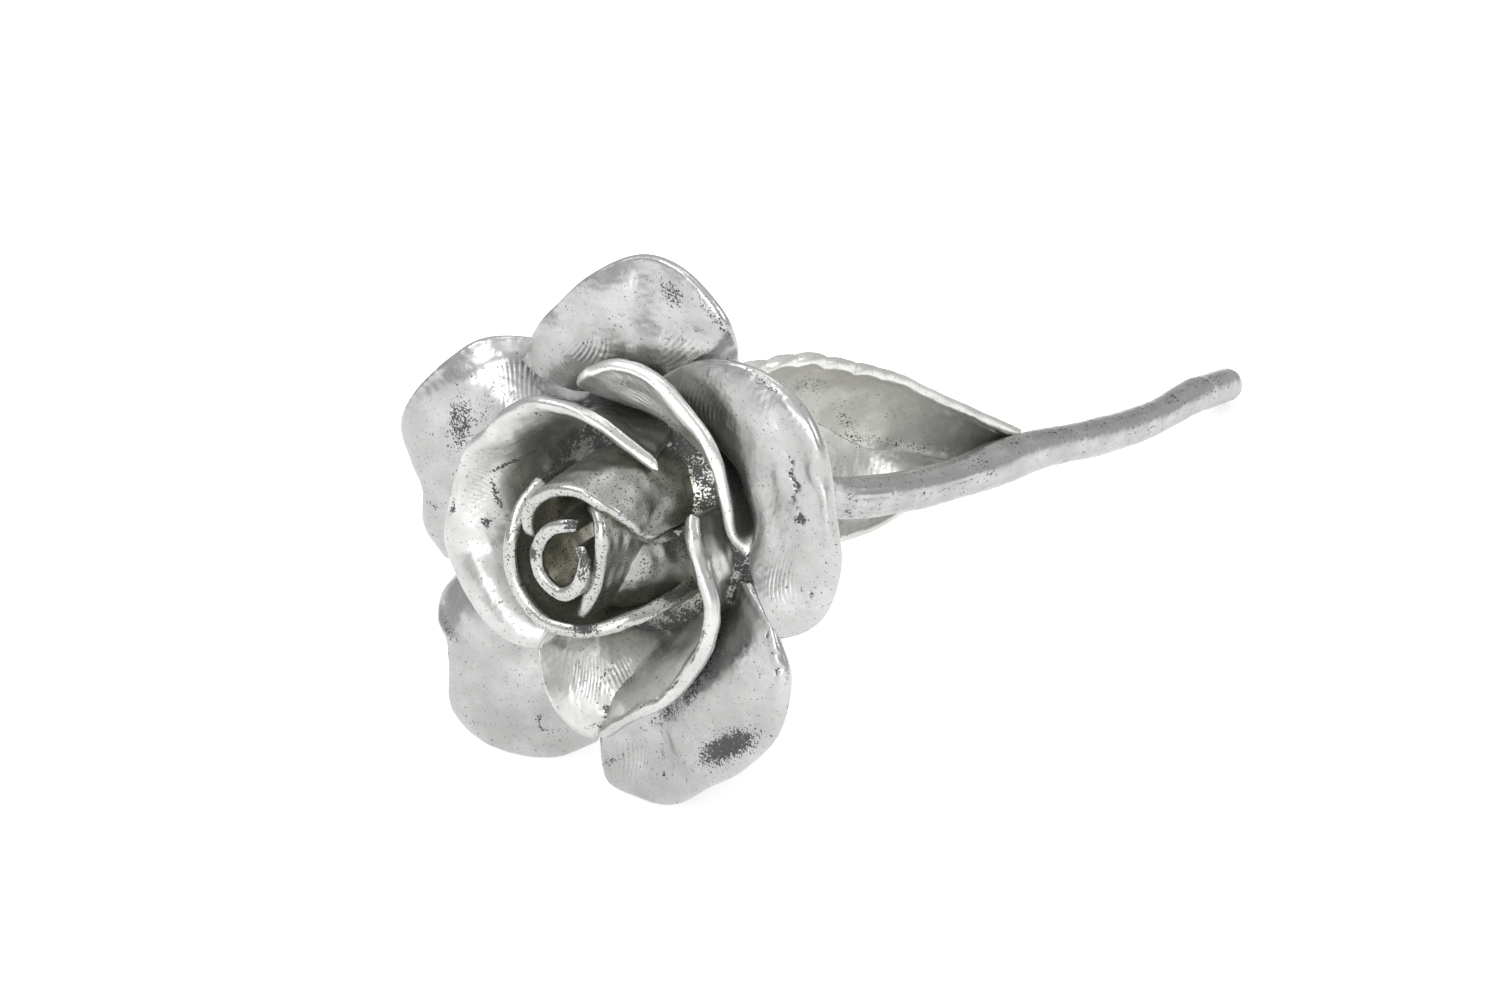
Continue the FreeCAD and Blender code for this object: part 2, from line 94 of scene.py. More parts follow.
# Rims are (angle, radius, height) and roots (first angle, last angle, first radius, last
# radius, height). The marks on a petal are given at (share along the rim, share from the root
# to the rim), with sizes in millimetres and turns in degrees from the rim's direction:
#   dents   (s, t, half length, half width, turn, depth), a negative depth is a swelling
#   prints  (s, t, half length, half width, turn, distance of the arcs' centre, its direction)
#   smears  (s, t, half length, half width, turn, strength)
#   cracks  (s0, t0, s1, t1, width, depth)
#   beads   (s0, s1, distance from the rim, half width, height)
# A petal's curl is how far its rim turns back, its bulge how far it swells behind that, and its
# lip the height of the bead along its rim. A bud petal's rim is given about its own axis.
PETALS = {
    "outer_petal_top": {
        "rim": [(60, 21, 4.5), (64, 27, 8), (75, 29.7, 9), (86, 29.5, 8.7), (98, 26.6, 9.5),
                (116, 22.6, 9), (134, 19.9, 7.8)],
        "root": (70, 120, 14.2, 14.2, -1.4), "sides": (SHELF, SHELF), "sheet": OUTER_SHEET,
        "curl": 0.5, "bulge": 0.9,
        "dents": [(0.62, 0.62, 3.2, 3.6, 20, 0.35), (0.5, 0.85, 1.6, 5.5, 0, -0.25),
                  (0.84, 0.85, 2.6, 3.4, 0, -0.3), (0.3, 0.8, 2.4, 3.0, 0, 0.25),
                  (0.12, 0.95, 1.2, 4.5, 0, -0.25), (0.47, 1.0, 3.0, 1.3, 0, -0.22)],
        "prints": [(0.95, 0.74, 3.4, 2.6, 20, 18, 10), (0.2, 0.76, 2.6, 2.4, 0, 25, 5),
                   (0.7, 0.7, 2.2, 1.6, 0, 12, 60)],
        "smears": [(0.36, 0.93, 1.7, 1.0, 10, 0.9), (0.22, 0.97, 3.0, 0.5, 0, 0.55),
                   (0.7, 0.74, 1.4, 0.4, 25, 0.45), (0.1, 0.9, 0.5, 2.4, 0, 0.45)],
        "beads": [(0.0, 0.25, 0.5, 0.5, 0.14)]},
    "outer_petal_right": {
        "rim": [(344, 20.6, 11.2), (349, 22.9, 10.8), (356, 24.7, 10.3), (368, 26.2, 10),
                (380, 26.7, 10), (393, 28.4, 10), (404, 28.3, 10), (416, 26.1, 10.25),
                (428, 21.6, 9.8), (437, 17.8, 9.2)],
        "root": (366, 416, 14.2, 14.2, -1.3), "sides": (SHELF, SHELF), "sheet": OUTER_SHEET,
        "curl": 0.5, "bulge": 0.6,
        "dents": [(0.64, 0.82, 3.0, 2.6, 30, -0.5), (0.47, 0.74, 2.6, 2.0, 0, 0.35),
                  (0.8, 0.72, 2.4, 2.0, 0, 0.4), (0.25, 0.7, 3.0, 2.0, 0, 0.25),
                  (0.52, 0.8, 2.0, 0.8, 20, -0.25)],
        "prints": [(0.88, 0.8, 3.0, 2.2, 0, 6, 200), (0.2, 0.78, 2.6, 1.8, 0, 9, 70)],
        "smears": [(0.415, 0.87, 0.5, 0.8, 0, 1.3), (0.62, 0.36, 4.0, 1.6, 0, 0.5),
                   (0.72, 0.97, 2.2, 0.4, 0, 0.6)],
        "cracks": [(0.27, 0.93, 0.20, 0.93, 0.2, 0.12), (0.57, 0.865, 0.43, 0.86, 0.26, 0.2)],
        "beads": [(0.38, 0.66, 1.0, 0.75, 0.5)]},
    "outer_petal_lower_right": {
        "rim": [(261.5, 24, 9), (265, 28.5, 9.5), (272, 29.7, 8.5), (280, 29.6, 8.5),
                (291, 27.4, 9.5), (303, 26.4, 10), (318, 25.2, 10), (331, 22.8, 9.6),
                (340, 19.5, 9.3), (348, 16.5, 8.6), (352, 14.4, 8)],
        "root": (276, 342, 11.5, 11.5, -2.5), "sides": (FACE, FACE), "sheet": OUTER_SHEET,
        "curl": 0.5, "bulge": 0.6,
        "dents": [(0.49, 0.915, 4.8, 1.5, 4, 0.5), (0.34, 0.84, 1.5, 4.0, 0, -0.45),
                  (0.16, 0.85, 2.6, 2.6, 0, 0.2), (0.62, 0.7, 3.0, 2.4, 0, -0.25)],
        "prints": [(0.17, 0.9, 2.6, 2.6, 0, 30, 0)],
        "smears": [(0.49, 0.915, 4.6, 1.5, 4, 1.55), (0.1, 0.93, 0.4, 1.6, 0, 0.7),
                   (0.56, 0.52, 2.8, 1.3, -30, 1.0), (0.43, 0.655, 3.2, 1.1, -28, 0.9),
                   (0.27, 0.73, 3.0, 0.7, -20, 0.75)],
        "cracks": [(0.24, 0.76, 0.28, 0.94, 0.2, 0.12), (0.80, 0.93, 0.70, 0.95, 0.18, 0.12),
                   (0.94, 0.97, 0.93, 0.84, 0.16, 0.1), (0.47, 0.79, 0.49, 0.85, 0.2, 0.08)],
        "beads": [(0.7, 1.0, 0.9, 0.8, 0.35)]},
    "outer_petal_lower_left": {
        "rim": [(204, 25, 5), (209, 27.6, 8.5), (214, 27.6, 10.5), (219, 27, 11.5),
                (224, 29.2, 11.4), (229, 32.9, 10.6), (236, 33.9, 9.7), (242.5, 33.1, 8.6),
                (249.5, 30.9, 7.4), (256.5, 27.2, 5.8)],
        "root": (207, 264, 11.5, 11.5, -2.5), "sides": (FACE, FACE), "sheet": OUTER_SHEET,
        "curl": 0.5, "bulge": 0.6,
        "dents": [(0.22, 0.78, 1.3, 4.2, -10, -0.4), (0.32, 0.93, 2.0, 1.4, 0, 0.4),
                  (0.5, 0.7, 3.0, 3.0, 0, 0.3), (0.7, 0.85, 3.0, 2.4, 0, -0.2)],
        "prints": [(0.15, 0.86, 2.2, 3.0, 0, 5, 90)],
        "smears": [(0.3, 0.97, 2.0, 0.45, 0, 0.6), (0.42, 0.72, 2.0, 1.6, 0, 0.42),
                   (0.62, 0.97, 2.0, 0.3, 0, 0.4)],
        "cracks": [(0.56, 0.88, 0.62, 0.86, 0.2, 0.1), (0.79, 0.76, 0.77, 0.86, 0.24, 0.12),
                   (0.77, 0.86, 0.83, 0.93, 0.24, 0.12), (0.8, 0.9, 0.84, 0.91, 0.2, 0.1)],
        "beads": [(0.2, 0.4, 0.7, 0.6, 0.25)]},
    "outer_petal_upper_left": {
        "rim": [(130, 20.5, 4), (138, 24, 8), (148, 25.3, 10), (160, 26.9, 10.5),
                (169, 27.6, 10.5), (177, 26.6, 10), (184, 25.7, 9.5), (194, 26.7, 8.8),
                (203, 26.3, 7.5)],
        "root": (132, 195, 11.5, 11.5, -2.5), "sides": (FACE, FACE), "sheet": OUTER_SHEET,
        "curl": 0.5, "bulge": 0.6,
        "dents": [(0.3, 0.92, 4.4, 1.3, 8, -0.45), (0.42, 0.72, 3.4, 2.0, 0, 0.5),
                  (0.09, 0.9, 2.2, 1.0, 0, -0.25), (0.72, 0.84, 2.4, 3.0, 0, -0.2)],
        "prints": [(0.14, 0.78, 2.2, 2.6, 0, 14, 20)],
        "smears": [(0.38, 0.82, 3.2, 1.5, -25, 0.95), (0.3, 0.78, 2.4, 1.0, 0, 0.3),
                   (0.8, 0.95, 0.5, 1.0, 0, 0.55)],
        "beads": [(0.0, 0.5, 0.5, 0.45, 0.1)]},
    "inner_petal_left": {
        "rim": [(54, 12.3, 13.5), (74, 12.9, 14.5), (91, 14.6, 15), (104, 15.6, 15),
                (115, 16.3, 15), (127, 16.3, 15), (139, 16, 15), (151, 16.7, 15),
                (163, 16.9, 15), (184, 17.7, 15), (195, 18.1, 15), (206, 17, 15.5),
                (218, 16, 16), (230, 14.9, 16), (243, 13.5, 15)],
        "root": (74, 240, 11.1, 9.9, 1.5), "sides": (RISE, CUP), "sheet": INNER_SHEET,
        "dents": [(0.565, 0.76, 3.8, 1.7, 10, 0.5), (0.4, 0.8, 2.6, 2.0, 0, -0.2),
                  (0.8, 0.8, 3.0, 2.0, 0, -0.2)],
        "prints": [(0.565, 0.76, 3.4, 1.7, 10, 16, 10), (0.3, 0.5, 2.0, 1.4, 0, 8, 90)],
        "smears": [(0.51, 0.64, 1.9, 0.32, 35, 1.1), (0.59, 0.66, 2.0, 0.34, -25, 1.0),
                   (0.645, 0.7, 0.6, 0.45, 0, 1.2), (0.62, 0.94, 0.8, 0.3, 0, 1.2),
                   (0.29, 0.82, 0.5, 0.3, 20, 0.9)],
        "beads": [(0.3, 0.7, 0.75, 0.7, 0.25), (0.0, 0.3, 0.6, 0.6, 0.12)]},
    "inner_petal_right": {
        "rim": [(1, 13.4, 8), (15, 14, 10.5), (30, 15.9, 11.8), (43, 18.3, 12.3),
                (54, 19.6, 12.7), (69, 20.8, 13.2), (83, 20.3, 13.4), (93, 18.7, 13.2),
                (101, 17.2, 12), (110.5, 15.8, 9.5)],
        "root": (9, 108, 11.8, 13.3, 0), "sides": (FLANK, FLARE), "sheet": INNER_SHEET,
        "dents": [(0.66, 0.8, 2.4, 1.6, 0, 0.3), (0.5, 0.92, 2.8, 1.0, 0, -0.25),
                  (0.35, 0.7, 3.0, 1.8, 20, 0.25)],
        "prints": [(0.62, 0.75, 2.2, 1.4, 0, 9, 90)],
        "smears": [(0.7, 0.86, 1.6, 0.5, -20, 0.6), (0.55, 0.7, 2.4, 0.7, -30, 0.65),
                   (0.42, 0.62, 2.6, 0.6, -20, 0.5)],
        "beads": [(0.3, 0.85, 0.7, 0.6, 0.15)]},
    "inner_petal_lower": {
        "rim": [(238, 16.5, 12), (246, 18.4, 13), (254, 19.8, 14), (261, 21, 14),
                (266, 21.5, 13.5), (268, 20.9, 13), (271, 20.9, 13.5), (284, 18.3, 14),
                (301, 17, 14), (323, 15.7, 14), (337, 15.2, 14), (349, 14.2, 14),
                (358, 13.1, 14), (369, 12.3, 14), (380, 12.2, 14), (389, 12.4, 13)],
        "root": (250, 385, 9.9, 10.2, 1.5), "sides": (BOWL, BOWL), "sheet": INNER_SHEET,
        "dents": [(0.38, 0.8, 3.4, 1.3, 12, -0.35), (0.3, 0.66, 2.0, 1.8, 0, 0.3),
                  (0.06, 0.8, 1.4, 2.8, 0, -0.2), (0.6, 0.75, 3.0, 1.6, 0, -0.15)],
        "prints": [(0.3, 0.7, 2.4, 1.9, 0, 10, -20), (0.17, 0.76, 2.2, 2.0, 0, 9, 150)],
        "smears": [(0.27, 0.93, 0.9, 0.25, 0, 0.8), (0.2, 0.7, 0.4, 1.4, 0, 0.55)],
        "cracks": [(0.33, 0.98, 0.3, 0.82, 0.3, 0.18), (0.45, 0.94, 0.75, 0.93, 0.16, 0.12)],
        "beads": [(0.4, 1.0, 0.8, 0.6, 0.3)]},
}

BUD_PETALS = {
    "bud_petal_left": {
        "rim": [(140, 8.6, 15), (158, 8.2, 18), (170, 7.6, 19.7), (185, 7.5, 20),
                (205, 7.7, 20), (226, 7.8, 20), (246, 7.6, 20), (271, 7.2, 19.5),
                (292, 7.1, 19), (308, 7.4, 18), (320, 8, 16.4), (330, 8.5, 13.8),
                (337, 8.6, 10.5)],
        "axis": BUD_OFFSET, "sheet": BUD_SHEET, "lip": 0.225,
        "dents": [(0.5, 0.6, 2.6, 2.4, 0, 0.15)],
        "smears": [(0.62, 0.985, 1.3, 0.35, 0, 1.4), (0.36, 0.97, 0.3, 0.3, 0, 0.9)]},
    "bud_petal_top": {
        "rim": [(25, 8.8, 10.5), (22, 8.4, 13.3), (23, 7.8, 15.7), (30, 7.6, 17.3),
                (39, 8.2, 18.6), (50, 8.7, 20), (62, 9, 21), (75, 9, 21.3), (88, 8.6, 21.5),
                (103, 7.8, 21.5), (118, 6.8, 21.5), (136, 5.8, 21), (156, 5.2, 20),
                (170, 5.2, 18.5)],
        "axis": BUD_OFFSET, "sheet": BUD_SHEET, "lip": 0.175,
        "dents": [(0.33, 0.75, 1.3, 3.0, 0, -0.35), (0.2, 0.7, 1.2, 3.0, 0, 0.2)],
        "smears": [(0.3, 1.0, 1.8, 0.25, 0, 1.2), (0.2, 0.6, 2.0, 3.0, 0, 0.35)]},
    "bud_petal_right": {
        "rim": [(273, 5.6, 19), (299, 4, 20), (341, 3.6, 20.5), (376, 4.5, 21),
                (394, 5.8, 21.5), (407, 6.9, 21.5), (418, 7.5, 21), (430, 7.2, 20)],
        "axis": BUD_OFFSET, "sheet": CORE_SHEET, "lip": 0.175,
        "smears": [(0.42, 0.99, 1.4, 0.25, 0, 1.1)]},
    "bud_core": {
        "rim": [(60, 2.6, 21), (25, 2.6, 21.5), (-15, 2.2, 21.8), (-60, 2.5, 22),
                (-98, 3, 22), (-140, 3.1, 22), (-180, 3.1, 22), (-212, 3.2, 22),
                (-245, 3.6, 22), (-272, 4.2, 22), (-291, 4.7, 21.5)],
        "axis": CORE_OFFSET, "sheet": CORE_SHEET, "lip": 0.225,
        "smears": [(0.64, 1.0, 0.6, 0.5, 0, 1.3), (0.97, 1.0, 0.6, 0.4, 0, 1.2),
                   (0.1, 0.99, 1.0, 0.3, 0, 1.0)]},
}

HUB_OUTLINE = [(2.6, -9.5), (6.5, -7.5), (10.8, -4.6), (13.3, -2.3), (14, 0.2), (14, 3),
               (13.2, 5.6), (11.8, 7.6), (10, 8.8), (8.4, 9.8), (7.4, 11.4), (6.6, 13.6),
               (5.2, 15.8), (3, 16.7), (0, BOSS_HEIGHT)]

# The stem and the leaf are given in millimetres from the centre of the head: (x, y, z).
STEM_LINE = [(1.0, 9.5, 0.5, 2.3), (0.9, 13.3, -1.0, 2.3), (0.4, 20.3, -5.4, 2.2),
             (0.0, 28.7, -10.2, 2.2), (0.0, 42.2, -14.2, 2.2), (0.0, 54.3, -16.6, 2.3),
             (0.0, 60.3, -17.4, 2.5), (0.0, 68.7, -18.8, 2.25), (-0.2, 82.0, -22.0, 2.1),
             (-0.8, 94.3, -24.3, 2.0), (-1.4, 105.2, -25.3, 2.0)]
END_DIRECTION = (-0.105, 0.974, -0.21)
END_LENGTH = 12.0
LEAF_TOP = [(-0.8, 66.0, -15.7), (-2.2, 59.8, -11.8), (-3.0, 54.5, -8.5), (-4.0, 43.0, -1.5),
            (-6.0, 32.5, 3.1), (-8.5, 22.5, 4.7), (-11.0, 15.5, 3.4)]
LEAF_RIB = [(-3.2, 64.3, -18.2), (-4.2, 57.8, -17.4), (-6.5, 50.9, -14.3), (-9.0, 45.9, -12.5),
            (-11.0, 39.5, -7.8), (-12.2, 28.5, -2.1), (-11.5, 15.0, 2.6)]
LEAF_LOW = [(-1.8, 61.8, -20.5), (-2.6, 54.8, -20.1), (-3.2, 47.0, -19.2), (-4.2, 40.2, -19.7),
            (-6.5, 33.5, -18.6), (-10.0, 23.5, -10.6), (-11.5, 14.8, 1.4)]
LEAF_BELLY = 1.2
LEAF = {
    "sheet": OUTER_SHEET,
    "dents": [(0.62, 0.8, 4.0, 2.6, 0, 0.35), (0.35, 0.75, 5.0, 2.0, 0, -0.2),
              (0.78, 0.7, 3.0, 3.0, 0, -0.25)],
    "prints": [(0.8, 0.75, 3.0, 3.0, 30, 14, 80)],
    "smears": [(0.55, 0.62, 4.5, 1.0, 25, 0.45), (0.66, 0.8, 2.4, 1.8, 0, 0.45),
               (0.35, 0.56, 8.0, 0.6, 0, 0.5),
               (0.16, 0.5, 1.2, 0.8, 0, 1.0)],
    "beads": [(0.0, 1.0, 0.6, 0.6, 0.3)]}

# ---- how the metal is worked ---------------------------------------------------------------
# Random relief is given as layers of (height, size). Lengths are in millimetres.
BENT = ((0.10, 9), (0.03, 4))                # both faces of a sheet together
HAMMERED = ((0.010, 1.7), (0.006, 0.7))      # the inner face of a sheet
BACK_HAMMERED = ((0.02, 1.6),)
ROLLED = ((0.04, 14), (0.012, 3))            # the stem
HUB_HAMMERED = ((0.10, 5), (0.03, 1.6))
CURL_REACH = 3.2         # an outer petal curls back over this last stretch before its rim
BULGE_PLACE = 11.0       # its swelling is this far in from the rim
BULGE_WIDTH = 4.0
CALM_ROOT = 4.0          # dents and bends fade out over this stretch at the root
LIP_WIDTH = 1.1          # half width of the bead along a bud petal's rim
MARK_DEPTH = 6.0         # a mark fades out this far above or below its own spot
LINE_WANDER = 0.35       # how far a crack strays from a straight line
PRINT_PITCH = 0.46       # from one finger ridge to the next
PRINT_HEIGHT = 0.03
PRINT_WARP = 0.22        # how far the ridges stray from true arcs
BLACK_CRACK = 0.12       # a crack of this depth is black all through
EDGE_FADE = 0.7          # the polish of a rim fades out over this distance
STEM_TIP = 1.9           # length of the rounded end of the stem
STRIAE = 17              # striations around the stem
STRIA_HEIGHT = 0.035
STRIA_FADE = 50          # they fade out over this length of stem
DARK_SIDE = 1.3          # the turn, in radians, at which the stem has its band of painted shade
DARK_STRETCH = (52, 108) # and where the band is along the stem
HUB_BLACK = (0.5, 9.5)   # the heights between which the hub is painted black, as painted shade in the gaps between the petals
SCALLOP = 0.068          # length of one scallop, as a share of the leaf's margin
SCALLOP_DEPTH = 0.45

# Vertices along the rim and from root to rim, or along the axis and around it.
PETAL_GRID = (270, 168)
BUD_GRID = (220, 150)
LEAF_GRID = (330, 134)
STEM_GRID = (620, 150)
HUB_GRID = (220, 360)
LIP_ROWS = 7             # rows of vertices over a rounded lip
TIP_RINGS = 16           # rings over the rounded end of the stem

# Every sheet draws its random relief from ten seeds of its own.
PETAL_SEEDS = range(100, 200, 10)
BUD_SEEDS = range(300, 400, 10)
LEAF_SEED = 400
STEM_SEED = 51
HUB_SEED = 61


def curve(points, share):
    """The points at some shares of the way along the smooth curve through the given points."""
    points = np.asarray(points, float)
    row = np.vstack([2 * points[0] - points[1], points, 2 * points[-1] - points[-2]])
    place = np.clip(share, 0, 1) * (len(points) - 1)
    i = np.minimum(place.astype(int), len(points) - 2)
    f = (place - i)[..., None]
    a, b, c, d = row[i], row[i + 1], row[i + 2], row[i + 3]
    return 0.5 * (2 * b + (c - a) * f + (2 * a - 5 * b + 4 * c - d) * f ** 2
                  + (3 * b - a - 3 * c + d) * f ** 3)


def polar(points, axis=(0.0, 0.0)):
    """Head coordinates of (angle, radius, height) points about an axis."""
    angle, radius, height = np.asarray(points, float).T
    turn = np.radians(angle)
    return np.stack([axis[0] + radius * np.cos(turn), axis[1] + radius * np.sin(turn), height],
                    -1)


def from_head(point):
    """Head coordinates to the frame's axes, still in millimetres."""
    return np.stack([HEAD[0] + point[..., 0], HEAD[1] - point[..., 2],
                     HEAD[2] + point[..., 1]], -1)


def fan_surface(petal, s, t):
    """The middle of a petal that fans out from an arc on the hub to its rim."""
    rim = curve(polar(petal["rim"]), s)
    a0, a1, r0, r1, height = petal["root"]
    turn = np.radians(a0 + (a1 - a0) * s)
    radius = r0 + (r1 - r0) * s
    root = np.stack([BUD_OFFSET[0] + radius * np.cos(turn),
                     BUD_OFFSET[1] + radius * np.sin(turn), np.full_like(s, height)], -1)
    first, last = np.array(petal["sides"])
    out1, up1, out2, up2 = np.moveaxis(first + (last - first) * s[..., None], -1, 0)
    w1, w2, w3 = 3 * t * (1 - t) ** 2, 3 * t ** 2 * (1 - t), t ** 3
    outward = w1 * out1 + w2 * out2 + w3
    upward = w1 * up1 + w2 * up2 + w3
    return from_head(root + (rim - root) * np.stack([outward, outward, upward], -1))


def swell(height):
    """How much wider the bud is at a height than at its floor."""
    share = np.clip((height - BUD_FLOOR) / (BUD_TOP - BUD_FLOOR), 0, 1)
    return 1 + BUD_SWELL * np.sin(np.pi * share ** 0.85)


def bud_surface(petal, s, t):
    """The middle of a petal that stands on the bud's floor, wrapped around the bud."""
    rim = curve(polar(petal["rim"], petal["axis"]), s)
    height = BUD_FLOOR + (rim[..., 2] - BUD_FLOOR) * t
    scale = swell(height) / swell(rim[..., 2])
    return from_head(np.stack([BUD_OFFSET[0] + (rim[..., 0] - BUD_OFFSET[0]) * scale,
                               BUD_OFFSET[1] + (rim[..., 1] - BUD_OFFSET[1]) * scale,
                               height], -1))


def leaf_surface(s, t):
    """The middle of the leaf: two halves that rise from the rib to its two margins."""
    rib = curve(LEAF_RIB, s)
    side = 2 * t - 1
    edge = np.where((side > 0)[..., None], curve(LEAF_TOP, s), curve(LEAF_LOW, s))
    share = np.abs(side)
    place = rib + (edge - rib) * share[..., None]
    place[..., 0] -= LEAF_BELLY * 4 * share * (1 - share) * np.sin(np.pi * np.minimum(s + 0.08, 1))
    return place + HEAD


def random_field(seed, size, waves=16):
    """A smooth random function of place, about as often above 0 as below, with spread 1."""
    draw = np.random.default_rng(seed)
    ways = draw.normal(size=(waves, 3))
    ways *= (2 * math.pi / (size * draw.uniform(0.8, 1.4, waves))
             / np.linalg.norm(ways, axis=1))[:, None]
    phases = draw.uniform(0, 2 * math.pi, waves)
    return lambda place: np.sin(place @ ways.T + phases).sum(-1) / math.sqrt(waves / 2)


def relief(place, seed, layers):
    """The sum of some layers of random relief, each with the next seed."""
    total = 0.0
    for step, (height, size) in enumerate(layers):
        total = total + height * random_field(seed + step, size)(place)
    return total


def unit(vectors):
    return vectors / np.maximum(np.linalg.norm(vectors, axis=-1, keepdims=True), 1e-9)


def grid_normals(grid):
    """Unit normals of a grid of points, towards the inner face of a sheet."""
    return unit(np.cross(np.gradient(grid, axis=1), np.gradient(grid, axis=0)))


def lip_spaced(length, count, radius):
    """Distances from 0 to a length, closer together over the rounded lip at each end."""
    lip = radius * (1 - np.cos(np.linspace(0, math.pi / 2, LIP_ROWS)))
    middle = np.linspace(radius, length - radius, count - 2 * LIP_ROWS + 2)[1:-1]
    return np.concatenate([lip, middle, length - lip[::-1]])


def lip_round(distance, radius):
    """How much of its full thickness a sheet has at a distance from its edge."""
    inside = 1 - np.clip(distance / radius, 0, 1)
    return np.sqrt(np.maximum(1 - inside ** 2, 0))


def lengths_along(points):
    """Running length along the last-but-one axis of an array of points."""
    steps = np.linalg.norm(np.diff(points, axis=-2), axis=-1)
    start = np.zeros(steps.shape[:-1] + (1,))
    return np.concatenate([start, np.cumsum(steps, axis=-1)], axis=-1)


def sheet_grid(surface, columns, rows, radius):
    """Shares (s, t) of a grid whose outer rows and columns follow the sheet's rounded lip."""
    near_rim = 0.9
    fine = np.linspace(0, 1, 500)
    around = lengths_along(surface(fine, np.full_like(fine, near_rim)))
    s = np.interp(lip_spaced(around[-1], columns, radius), around, fine)
    dense = np.linspace(0, 1, 160)
    out = lengths_along(surface(*np.meshgrid(s, dense, indexing="ij")))
    t = np.stack([np.interp(lip_spaced(row[-1], rows, radius), row, dense) for row in out])
    return np.repeat(s[:, None], rows, 1), t


class Marks:
    """Places near a mark, in millimetres along and across the sheet."""

    def __init__(self, surface, place, seed):
        self.surface = surface
        self.place = place
        self.wander = random_field(seed, 2.2)

    def local(self, s, t, turn=0.0):
        """Distances from a place on the sheet: along the rim, across it and through the metal."""
        step = 0.01
        shares = np.array([[s, s - step, s + step, s, s], [t, t, t, t - step, t + step]])
        centre, s0, s1, t0, t1 = self.surface(*np.clip(shares, 0, 1))
        along = unit(s1 - s0)
        normal = unit(np.cross(t1 - t0, along))
        across = np.cross(along, normal)
        offset = self.place - centre
        angle = math.radians(turn)
        a, b = offset @ along, offset @ across
        depth = offset @ normal
        return (a * math.cos(angle) + b * math.sin(angle),
                b * math.cos(angle) - a * math.sin(angle), depth)

    def blob(self, s, t, half_length, half_width, turn, power=1.0):
        """1 at a place on the sheet, falling to 0 past an ellipse around it."""
        a, b, depth = self.local(s, t, turn)
        reach = (a / half_length) ** 2 + (b / half_width) ** 2 + (depth / MARK_DEPTH) ** 2
        return np.exp(-reach ** power)

    def line(self, s0, t0, s1, t1, width):
        """1 on a line between two places on the sheet, falling to 0 at its width."""
        share = np.linspace(0, 1, 22)
        points = self.surface(s0 + (s1 - s0) * share, t0 + (t1 - t0) * share)
        points = points + LINE_WANDER * self.wander(points)[:, None]
        nearest = np.full(self.place.shape[:-1], 1e9)
        for a, b in zip(points[:-1], points[1:]):
            way = b - a
            along = np.clip(((self.place - a) @ way) / max(way @ way, 1e-9), 0, 1)
            gap = np.linalg.norm(self.place - a - along[..., None] * way, axis=-1)
            nearest = np.minimum(nearest, gap)
        return np.exp(-(nearest / width) ** 2)


def smooth_window(value, low, high, soft=0.04):
    """1 between two limits and 0 outside them, with soft steps."""
    above = 1 / (1 + np.exp(-(value - low) / soft * 2))
    below = 1 / (1 + np.exp((value - high) / soft * 2))
    return above * below


def finger_print(near, middle, warp, mark):
    """Ridges in arcs about one centre, within an ellipse on the sheet."""
    s, t, half_length, half_width, turn, away, way = mark
    a, b, _ = near.local(s, t)
    angle = math.radians(way)
    reach = np.hypot(a - away * math.cos(angle), b - away * math.sin(angle))
    mask = near.blob(s, t, half_length, half_width, turn, 2.0)
    return mask * np.sin(2 * math.pi * (reach + PRINT_WARP * warp) / PRINT_PITCH)


